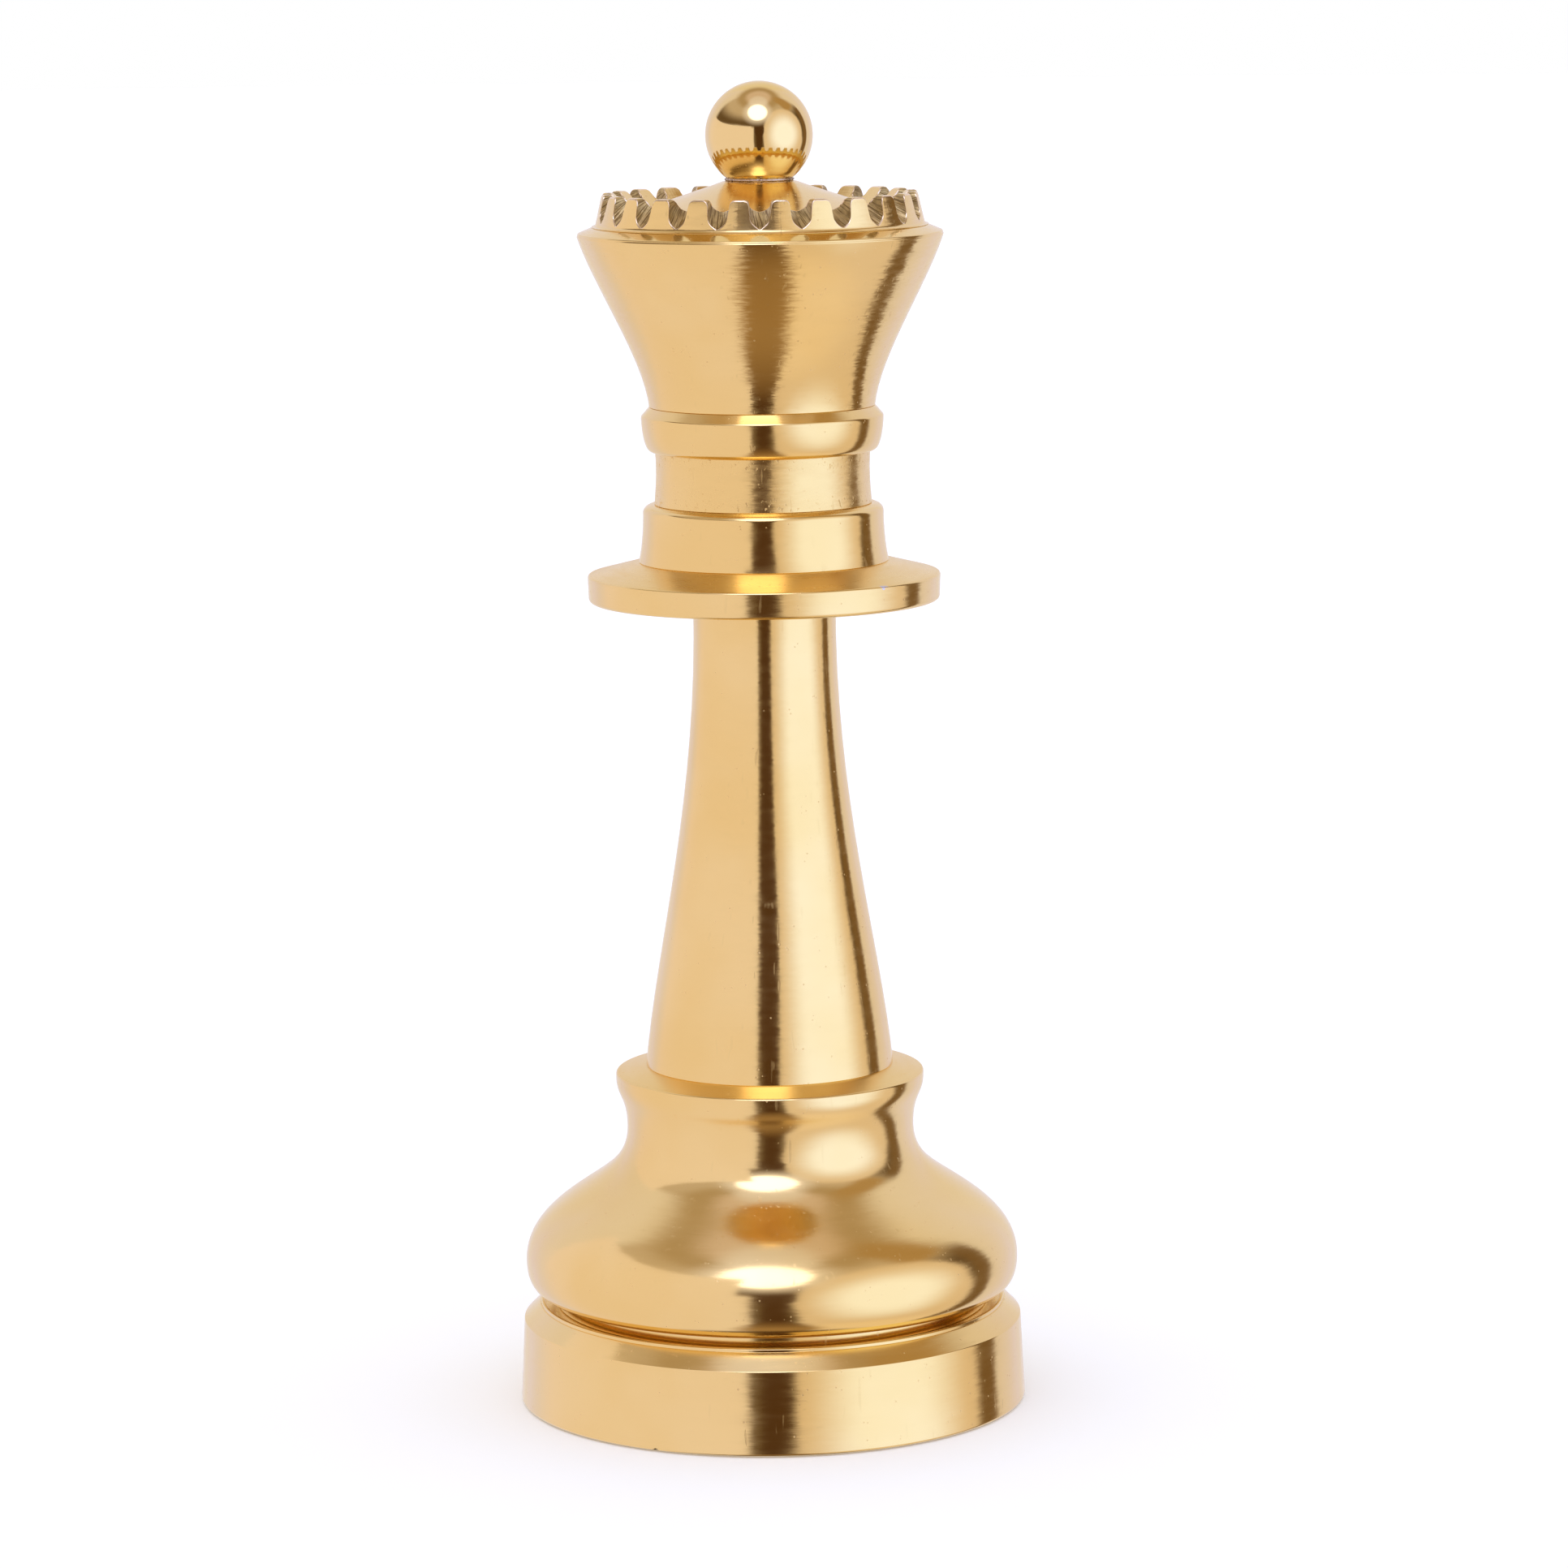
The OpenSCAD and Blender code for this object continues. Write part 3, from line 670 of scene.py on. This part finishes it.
TOP_STEPS, CORNER_STEPS, FLANK_STEPS, FLOOR_STEPS = 4, 6, 5, 9


def notch_side(radius, file_r, flank, corner, vee):
    """Half an edge of the crown on one cone, as (turn from the notch, height).

    It runs from the middle of a tooth to the middle of a notch.
    """
    half = math.pi / TEETH
    seam_w, seam_h = file_r * math.cos(flank), file_r - file_r * math.sin(flank)

    def on_flank(h):
        w = seam_w + (h - seam_h) * math.tan(flank)
        return w, notch_height(radius, w, h)

    lo, hi = seam_h, 12 * MM
    for _ in range(40):
        mid = (lo + hi) / 2
        if on_flank(mid)[1] > crown_top:
            hi = mid
        else:
            lo = mid
    edge_w, edge_h = on_flank(lo)[0], lo
    r_top = radius(crown_top)
    cut = corner * 0.85
    start = edge_w + cut
    low_h = edge_h - cut * 0.84
    low_w, low_z = on_flank(low_h)
    points = [(half + (math.asin(start / r_top) - half) * k / TOP_STEPS, crown_top) for k in range(TOP_STEPS)]
    for k in range(CORNER_STEPS + 1):
        t = k / CORNER_STEPS
        w, z = curve(t, start, edge_w, low_w), curve(t, crown_top, crown_top, low_z)
        points.append((math.asin(w / radius(z)), z))
    for k in range(1, FLANK_STEPS + 1):
        w, z = on_flank(low_h + (seam_h - low_h) * k / FLANK_STEPS)
        points.append((math.asin(w / radius(z)), z))
    for k in range(1, FLOOR_STEPS + 1):
        a = (math.pi / 2 - flank) * (1 - k / FLOOR_STEPS)
        w = file_r * math.sin(a)
        h = file_r * (1 - math.cos(a)) + vee * math.sin(math.pi * w / seam_w)
        z = notch_height(radius, w, h)
        points.append((math.asin(w / radius(z)), z))
    return points


def tooth_edges(chance):
    """Both edges of the whole crown, as (notch centre, side, outer point, inner point, step)."""
    edges = []
    for k in range(TEETH):
        centre = math.radians(-90 + 360 / TEETH * k + chance.uniform(-0.3, 0.3))
        file_r = (2.6 + chance.uniform(-0.06, 0.1)) * MM
        corner = chance.uniform(1.45, 1.8) * MM
        vee = chance.uniform(0.16, 0.38) * MM
        for side, lean in ((-1, 7), (1, 11.5)):
            flank = math.radians(lean + chance.uniform(-1, 1))
            outer = notch_side(wall_radius, file_r, flank, corner, vee)
            inner = notch_side(slope_radius, file_r, flank, 0.9 * corner, 0.4 * vee)
            steps = range(len(outer)) if side < 0 else range(len(outer) - 2, 0, -1)
            edges += [(centre, side, outer[j], inner[j], j) for j in steps]
    return edges


bore_r, spigot_r, spigot_h, spigot_bevel = 31.0 * MM, 41.5 * MM, 4.5 * MM, 0.3 * MM
cove_r, cove_z = 1.1 * MM, ledge_z + 1.35 * MM
seat_r, seat_z = 34.0 * MM, ledge_z + 0.6 * MM


def crown_column(outer, inner, centre, side, j, jag):
    """One section of the crown as (radius, height, turn), with where its edges and top strip start."""
    e_out = np.array([wall_radius(outer[1]), outer[1] + jag[0]])
    e_in = np.array([slope_radius(inner[1]), inner[1] + jag[1]])
    th_out, th_in = centre + side * outer[0], centre + side * inner[0]
    down, fall, strip = unit(wall_lo - wall_hi), unit(slope_lo - slope_hi), unit(e_in - e_out)
    # buffed edges are wider on the tooth tops than down in the notches
    cut = (0.5 - 0.24 * min(1.0, max(0.0, (j - 3) / 8))) * MM
    cut_in = 0.35 * MM
    rows = [(bore_r, ledge_z - spigot_h), (spigot_r - spigot_bevel, ledge_z - spigot_h),
            (spigot_r, ledge_z - spigot_h + spigot_bevel), (spigot_r, ledge_z),
            (rim_hi.x, ledge_z), (rim_hi.x, ledge_z + 0.2 * MM)]
    for a in map(math.radians, (270, 254, 238, 221, 205, 188)):
        rows.append((rim_hi.x + cove_r * math.cos(a), cove_z + cove_r * math.sin(a)))
    points = [(r, z, th_out) for r, z in rows]
    stop = e_out + down * cut
    for k in range(1, 6):
        points.append((*(wall_lo + (stop - wall_lo) * k / 5), th_out))
    outer_edge = len(points) - 1
    inward = e_out + strip * cut
    width = np.linalg.norm(e_in - e_out)
    from_out, to_in = cut / width, 1 - cut_in / width
    for t in (0.2, 0.4, 0.6, 0.8, 1.0):
        points.append((*curve(t, stop, e_out, inward), th_out + (th_in - th_out) * t * t * from_out))
    strip_start = len(points) - 1
    before = e_in - strip * cut_in
    for k in range(1, 6):
        t = k / 5
        points.append((*(inward + (before - inward) * t),
                       th_out + (th_in - th_out) * (from_out + (to_in - from_out) * t)))
    strip_end = len(points) - 1
    after = e_in + fall * cut_in
    for t in (0.33, 0.67, 1.0):
        points.append((*curve(t, before, e_in, after), th_in))
    for k in range(1, 6):
        points.append((*(after + (slope_lo - after) * k / 5), th_in))
    points += [(slope_lo[0], seat_z + 0.3 * MM, th_in), (seat_r, seat_z, th_in), (bore_r, seat_z, th_in)]
    return points, (outer_edge, strip_start, strip_end)


def coronet(name, materials):
    """The crown as one closed grid; materials are the gilt, the notch, the edge and the tooth top."""
    GILT, NOTCH, EDGE, TOP = range(4)
    chance = random.Random(24)
    on_tooth = TOP_STEPS + 2
    grid, across, along, steps = [], [], [], []
    walked, last = 0.0, None
    for centre, side, outer, inner, j in tooth_edges(chance):
        rough = 0.035 * MM if j > on_tooth else 0.012 * MM
        jag = chance.uniform(-rough, rough), chance.uniform(-rough, rough)
        points, (outer_edge, strip_start, strip_end) = crown_column(outer, inner, centre, side, j, jag)
        column = [(r * math.cos(t), r * math.sin(t), z) for r, z, t in points]
        if last is not None:
            walked += math.dist(column[strip_start], last)
        last = column[strip_start]
        grid.append(column)
        across.append([walked] * len(column))
        s, run = 0.0, []
        for a, b in zip(column, column[1:] + column[-1:]):
            run.append(s)
            s += math.dist(a, b)
        along.append(run)
        steps.append(j)
    grid = np.array(grid)
    cols, count = grid.shape[:2]
    faces, mats = [], []
    for c in range(cols):
        d = (c + 1) % cols
        strip_material = NOTCH if max(steps[c], steps[d]) > on_tooth else TOP
        for i in range(count):
            k = (i + 1) % count
            faces.append((c * count + i, d * count + i, d * count + k, c * count + k))
            if strip_start <= i < strip_end:
                mats.append(strip_material)
            else:
                # the edge rounds take the paler edge material, a painted highlight on the burnished edges
                mats.append(EDGE if outer_edge <= i < strip_end + 3 else GILT)
    verts = grid.reshape(-1, 3)
    f = np.array(faces)
    size = np.cross(verts[f[:, 2]] - verts[f[:, 0]], verts[f[:, 3]] - verts[f[:, 1]])
    normals = np.zeros_like(verts)
    for k in range(4):
        np.add.at(normals, f[:, k], size)
    normals /= np.maximum(np.linalg.norm(normals, axis=1, keepdims=True), 1e-15)
    values = {"across": np.array(across).ravel(), "along": np.array(along).ravel()}
    return new_piece(name, verts, faces, normals, values, materials, mats)


crown = coronet("coronet_crown", [gilt_rim, filed, burnished_painted_highlight, gilt_worn])
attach(crown, "stack")
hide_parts("coronet_ring")

# ---------------------------------------------------------------- finial, rod and felt

ball_lo, ball_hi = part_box("finial_ball")
ball_r = ball_hi.x
ball_z = ball_hi.z - ball_r
washer_lo, washer_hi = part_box("finial_washer")
rod_lo, rod_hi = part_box("tie_rod")


def path_of(*steps):
    """Points and normals of an outline from ((radius, height), (normal)) pairs."""
    return [np.array(p, float) for p, _ in steps], [np.array(n, float) for _, n in steps]


def ball(name, material):
    """The ball with its blind bore and a small bevel at the mouth."""
    seat = math.acos((ball_z - ball_lo.z) / ball_r)
    bore_end = rod_hi.z + 2.5 * MM
    bore, bevel, edge = 4.05 * MM, 0.6 * MM, 0.18 * MM
    mouth = ball_lo.z
    outline, normals = path_of(
        ((0.0, bore_end + 2.3 * MM), (0, -1)), ((bore, bore_end), (-0.5, -0.87)),
        ((bore, bore_end), (-1, 0)), ((bore, mouth + bevel), (-1, 0)),
        ((bore, mouth + bevel), (-0.71, -0.71)), ((bore + bevel, mouth), (-0.71, -0.71)),
        ((bore + bevel, mouth), (0, -1)), ((ball_r * math.sin(seat) - edge, mouth), (0, -1)))
    steps = 110
    for k in range(steps + 1):
        a = seat - edge / ball_r + (math.pi - seat + edge / ball_r) * k / steps if k else seat
        d = np.array([math.sin(a), -math.cos(a)])
        outline.append(np.array([0.0, ball_z]) + ball_r * d if k < steps else np.array([0.0, ball_hi.z]))
        normals.append(d)
    return spin(name, outline, normals, even(208), [material])


def random_waves(chance, count, slowest, quickest, least, most):
    """Waves round a rim, as (waves per turn, phase, depth in mm)."""
    return [(chance.randint(slowest, quickest), chance.uniform(0, 6.28), chance.uniform(least, most))
            for _ in range(count)]


def squeezed_washer(name, material):
    """The soft washer, squeezed out unevenly under the ball."""
    outer, bore = washer_hi.x, 4.25 * MM
    z0, z1 = washer_lo.z, washer_hi.z
    bulge = 0.42 * MM
    outline, normals = path_of(((bore, z1), (-1, 0)), ((bore, z0), (-1, 0)), ((bore, z0), (0, -1)),
                               ((outer - 0.3 * MM, z0), (0, -1)))
    for k in range(11):
        a = -math.pi / 2 + math.pi * k / 10
        outline.append(np.array([outer - 0.1 * MM + bulge * math.cos(a),
                                 (z0 + z1) / 2 + (z1 - z0) / 2 * math.sin(a)]))
        normals.append(np.array([math.cos(a), math.sin(a)]))
    outline.append(np.array([bore, z1]))
    normals.append(np.array([0.0, 1.0]))
    waves = random_waves(random.Random(5), 16, 5, 60, 0.02, 0.075)

    def ragged(v, n):
        th = np.arctan2(v[:, 1], v[:, 0])
        r = np.hypot(v[:, 0], v[:, 1])
        push = sum(a * np.sin(k * th + p + 30 * k * v[:, 2]) for k, p, a in waves) * MM
        grow = np.where(r > outer - 0.25 * MM, push, 0.0)
        v[:, 0] += grow * np.cos(th)
        v[:, 1] += grow * np.sin(th)
        return v, n

    return spin(name, outline, normals, even(320), [material], warp=ragged)


def threaded_rod(name, material):
    """M8 rod with a rolled helical thread at both ends."""
    pitch, deep, crest = 1.25 * MM, 0.62 * MM, 3.97 * MM
    low_thread, high_thread, runout = 18 * MM, 32 * MM, 1.5 * MM
    bevel_h, bevel_w = 0.9 * MM, 0.8 * MM
    rows_per_pitch, plain_step, cols = 10, 4 * MM, 56
    lo, hi = rod_lo.z, rod_hi.z
    heights = []
    z = lo
    while z < hi - 1e-9:
        heights.append(z)
        in_thread = z < lo + low_thread + 2 * MM or z > hi - high_thread - 2 * MM
        z += pitch / rows_per_pitch if in_thread else plain_step
    heights.append(hi)
    verts, faces = [(0.0, 0.0, lo)], []
    for z in heights:
        end = min(1.0, min(z - lo, hi - z) / bevel_h)
        cut = min(1.0, max(0.0, max(lo + low_thread - z, z - (hi - high_thread)) / runout))
        for j in range(cols):
            th = FULL_TURN * j / cols
            t = ((z - hi) / pitch - th / FULL_TURN) % 1.0
            profile = min(1.0, max(0.0, (abs(2 * t - 1) - 0.12) / 0.70))
            r = min(crest - deep * cut * profile, crest - (1 - end) * bevel_w)
            verts.append((r * math.cos(th), r * math.sin(th), z))
    verts.append((0.0, 0.0, hi))
    n = len(heights)
    for j in range(cols):
        k = (j + 1) % cols
        faces.append((0, 1 + k, 1 + j))
        faces.append((len(verts) - 1, 1 + (n - 1) * cols + j, 1 + (n - 1) * cols + k))
    for i in range(n - 1):
        for j in range(cols):
            k = (j + 1) % cols
            a, b = 1 + i * cols, 1 + (i + 1) * cols
            faces.append((a + j, a + k, b + k, b + j))
    return new_piece(name, verts, faces, materials=[material])


def felt_disc(name, material):
    """The felt pad, with a soft, slightly uneven cut edge."""
    lo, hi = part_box("felt_pad")
    r, h = hi.x, hi.z - lo.z
    edge = 0.6 * MM
    flat = [(r - edge) * k / 25 for k in range(26)]
    outline, normals = path_of(*[((x, lo.z), (0, -1)) for x in flat])
    for k in range(1, 10):
        a = -math.pi / 2 + math.pi * k / 10
        outline.append(np.array([r - edge + edge * math.cos(a), lo.z + h / 2 + h / 2 * math.sin(a)]))
        normals.append(np.array([math.cos(a), math.sin(a)]))
    top = path_of(*[((x, hi.z), (0, 1)) for x in reversed(flat)])
    outline += top[0]
    normals += top[1]
    waves = random_waves(random.Random(9), 18, 3, 70, 0.01, 0.05)

    def uneven(v, n):
        th = np.arctan2(v[:, 1], v[:, 0])
        near_rim = (np.hypot(v[:, 0], v[:, 1]) / r) ** 12
        push = (sum(a * np.sin(k * th + p) for k, p, a in waves) - 0.15) * MM * near_rim
        v[:, 0] += push * np.cos(th)
        v[:, 1] += push * np.sin(th)
        return v, n

    return spin(name, outline, normals, even(240), [material], warp=uneven)


for obj, body, node, slot in (
        (ball("ball_polished", mirror), "finial", "finial_ball", "gilt_aluminium"),
        (squeezed_washer("washer_squeezed", soft), "finial_seat", "finial_washer", "bare_aluminium"),
        (threaded_rod("rod_threaded", zinc), "stack", "tie_rod", "zinc_steel"),
        (felt_disc("felt_soft", felt), "stack", "felt_pad", "felt")):
    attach(obj, body)
    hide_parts(node)

# the CAD nodes keep their meshes and get the same materials
for name, obj in frame["nodes"].items():
    slot = next(s["material_slot"] for s in frame["record"]["subparts"] if s["node"] == name)
    own = {"zinc_steel": zinc, "felt": felt, "bare_aluminium": soft}.get(slot, gilt)
    if not obj.data.materials:
        obj.data.materials.append(own)
    for i in range(len(obj.material_slots)):
        obj.material_slots[i].material = own

# ---------------------------------------------------------------- light

PANEL = (0.925, 0.86, 1.23)

world = bpy.data.worlds.new("studio")
bpy.context.scene.world = world
world.use_nodes = True
g = Graph(world.node_tree)
out = g.node("ShaderNodeOutputWorld")
coord = g.node("ShaderNodeTexCoord")
direction = Value(g, coord.outputs["Generated"])
dx, dy, dz = g.split(direction)
DEG = 180 / math.pi
# directions in degrees: azimuth 0 is the camera's side and runs to the right, elevation is up
az = g.math("ARCTAN2", dx, 0.0 - dy) * DEG
el = g.math("ARCSINE", dz) * DEG
away = g.math("ABSOLUTE", az)


def angle_from(a, e):
    """Angle in degrees from a direction given by azimuth and elevation."""
    a, e = math.radians(a), math.radians(e)
    v = (math.cos(e) * math.sin(a), -math.cos(e) * math.cos(a), math.sin(e))
    return g.math("ARCCOSINE", g.vector("DOT_PRODUCT", direction, v)) * DEG


def az_from(a):
    return g.math("ABSOLUTE", az - a)


def lay(base, mask, colour):
    return g.mix(mask, base, colour)


# room above the panels, with a light ceiling
sky = g.mix(g.ramp(el, 25.0, 46.0), (0.14, 0.095, 0.07), (0.60, 0.53, 0.66))
sky = lay(sky, g.ramp(el, 52.0, 63.0), (0.47, 0.375, 0.36))
sky = lay(sky, g.ramp(el, 66.0, 76.0), (0.70, 0.60, 0.82))
sky = lay(sky, g.ramp(angle_from(-3.0, 77.0), 20.0, 10.0), (0.80, 0.78, 1.25))
brown_wall = g.ramp(az_from(98.0), 22.0, 10.0) * g.ramp(el, 34.0, 42.0) * g.ramp(el, 74.0, 60.0)
sky = lay(sky, brown_wall, (0.46, 0.32, 0.22))
# white backdrop behind the object, greyer straight behind it
behind = g.ramp(away, 112.0, 126.0) * g.ramp(el, 64.0, 48.0)
sky = lay(sky, behind, g.mix(g.ramp(away, 146.0, 160.0), (0.84, 0.82, 1.20), (0.85, 0.81, 0.90)))
# left panel
left = g.ramp(az, -8.5, -13.0) * g.ramp(az, -140.0, -120.0) * g.ramp(el + az_from(-50.0) * 0.07, 24.0, 17.0)
sky = lay(sky, left, PANEL)
# right round box with a hot centre, and the pale floor in front of it
from_box = angle_from(57.0, 2.0)
low = g.ramp(el, -38.0, -50.0)
right_floor = g.ramp(az, 9.5, 15.5) * g.ramp(az, 112.0, 104.0) * g.ramp(el, 0.0, -12.0)
right = g.math("MINIMUM", g.ramp(from_box, 51.0, 45.0) + right_floor, 1.0)
glow = g.mix(g.ramp(from_box, 46.0, 17.0), (0.84, 0.75, 0.98), (1.14, 1.33, 2.60))
glow = g.mix(low * 0.75, glow, (0.98, 0.87, 1.05))
sky = lay(sky, right, glow)
# dark edge line at the right
edge_line = g.ramp(az_from(116.5), 9.0, 3.5) * g.ramp(el, 40.0, 28.0) * g.ramp(el, -54.0, -36.0, 0.4, 1.0)
sky = lay(sky, edge_line, (0.20, 0.125, 0.075))
# gap between the panels, which widens and frays towards the ground
deep = g.ramp(el, -30.0, -57.0, smooth=False)
frayed = (g.noise(g.join(dx * 4.0, dy * 4.0, dz * 22.0), 1.0, 3.0, 0.6) - 0.5) * (2.0 + deep * 7.0)
wide = g.ramp(el, -4.0, 12.0) * 4.0
from_gap = g.math("ABSOLUTE", az - 1.0 - deep * 4.0 + frayed)
gap = g.ramp(from_gap, 7.6 + wide + deep * 30.0, 5.2 + wide + deep * 12.0) * g.ramp(el, 26.0, 16.0)
sky = lay(sky, gap, g.mix(deep, (0.085, 0.042, 0.022), (0.38, 0.25, 0.165)))
# round light above the camera, with a soft skirt
sky = lay(sky, g.ramp(angle_from(-4.0, 52.0), 34.0, 18.0) * 0.75, (0.90, 0.92, 1.60))
sky = lay(sky, g.ramp(angle_from(-4.0, 51.5), 20.5, 16.0), (2.3, 2.4, 4.3))
# shaded ground under the object
sky = lay(sky, g.ramp(el, -62.0, -74.0), (0.09, 0.05, 0.03))

# the camera sees plain white, and so does the floor
path = g.node("ShaderNodeLightPath")
camera_ray, floor_ray = (Value(g, path.outputs[kind]) for kind in ("Is Camera Ray", "Is Diffuse Ray"))
plain = g.mix(camera_ray, (0.98, 0.98, 1.0), (1.0, 1.0, 1.0))
back = g.node("ShaderNodeBackground")
g.feed(back.inputs[0], g.mix(g.math("MAXIMUM", camera_ray, floor_ray), sky, plain))
back.inputs[1].default_value = 1.0
g.tree.links.new(back.outputs[0], out.inputs[0])


def backdrop_piece(name, verts, faces, material):
    mesh = bpy.data.meshes.new(name)
    mesh.from_pydata(verts, [], faces)
    mesh.materials.append(material)
    obj = bpy.data.objects.new(name, mesh)
    bpy.context.scene.collection.objects.link(obj)
    return obj


floor_r, floor_z = 12.0, -0.05 * MM
floor_material, g, bsdf = new_material("pale_floor")
tint = g.noise(g.place(), 8.0, 3.0)
g.feed(bsdf.inputs["Base Color"], g.mix(tint, (0.93, 0.93, 0.93), (0.95, 0.95, 0.95)))
bsdf.inputs["Roughness"].default_value = 0.9
bsdf.inputs["Specular IOR Level"].default_value = 0.0
bsdf.inputs["Emission Color"].default_value = (1.0, 1.0, 1.0, 1.0)
bsdf.inputs["Emission Strength"].default_value = 0.12
floor_ring = [(floor_r * math.cos(t), floor_r * math.sin(t), floor_z) for t in even(96)]
floor = backdrop_piece("floor", floor_ring, [tuple(range(96))], floor_material)
floor.visible_glossy = False

# upper part of the left panel, which stands close: only reflections see it
panel_r, panel_foot, panel_top = 0.456, 0.02, 0.5
panel_material = bpy.data.materials.new("panel_light")
panel_material.use_nodes = True
g = Graph(panel_material.node_tree)
lamp, out = g.node("ShaderNodeEmission"), g.node("ShaderNodeOutputMaterial")
lamp.inputs[0].default_value = (*PANEL, 1.0)
g.tree.links.new(lamp.outputs[0], out.inputs[0])
turns = [math.radians(a) for a in np.linspace(-122.0, -16.0, 40)]
corners = [(panel_r * math.sin(a), -panel_r * math.cos(a), z) for a in turns for z in (panel_foot, panel_top)]
strips = [(2 * i, 2 * i + 2, 2 * i + 3, 2 * i + 1) for i in range(len(turns) - 1)]
left_panel = backdrop_piece("left_panel", corners, strips, panel_material)
for kind in ("camera", "diffuse", "transmission", "shadow", "volume_scatter"):
    setattr(left_panel, "visible_" + kind, False)

# ---------------------------------------------------------------- camera

cam_data = bpy.data.cameras.new("camera")
cam_data.sensor_width = 36.0
cam_data.lens = 134.4
cam_data.clip_start = 0.05
cam_data.clip_end = 60.0
cam = bpy.data.objects.new("camera", cam_data)
bpy.context.scene.collection.objects.link(cam)
pitch, roll = math.radians(8.55), math.radians(-0.64)
reach, aim_x, aim_z = 1.572, 4.7 * MM, 167.8 * MM
turn = Matrix.Rotation(math.pi / 2 - pitch, 4, "X") @ Matrix.Rotation(roll, 4, "Z")
spot = (aim_x, -reach * math.cos(pitch), aim_z + reach * math.sin(pitch))
cam.matrix_world = Matrix.Translation(spot) @ turn
bpy.context.scene.camera = cam

view = bpy.context.scene.view_settings
view.view_transform = "Standard"
view.look = "None"
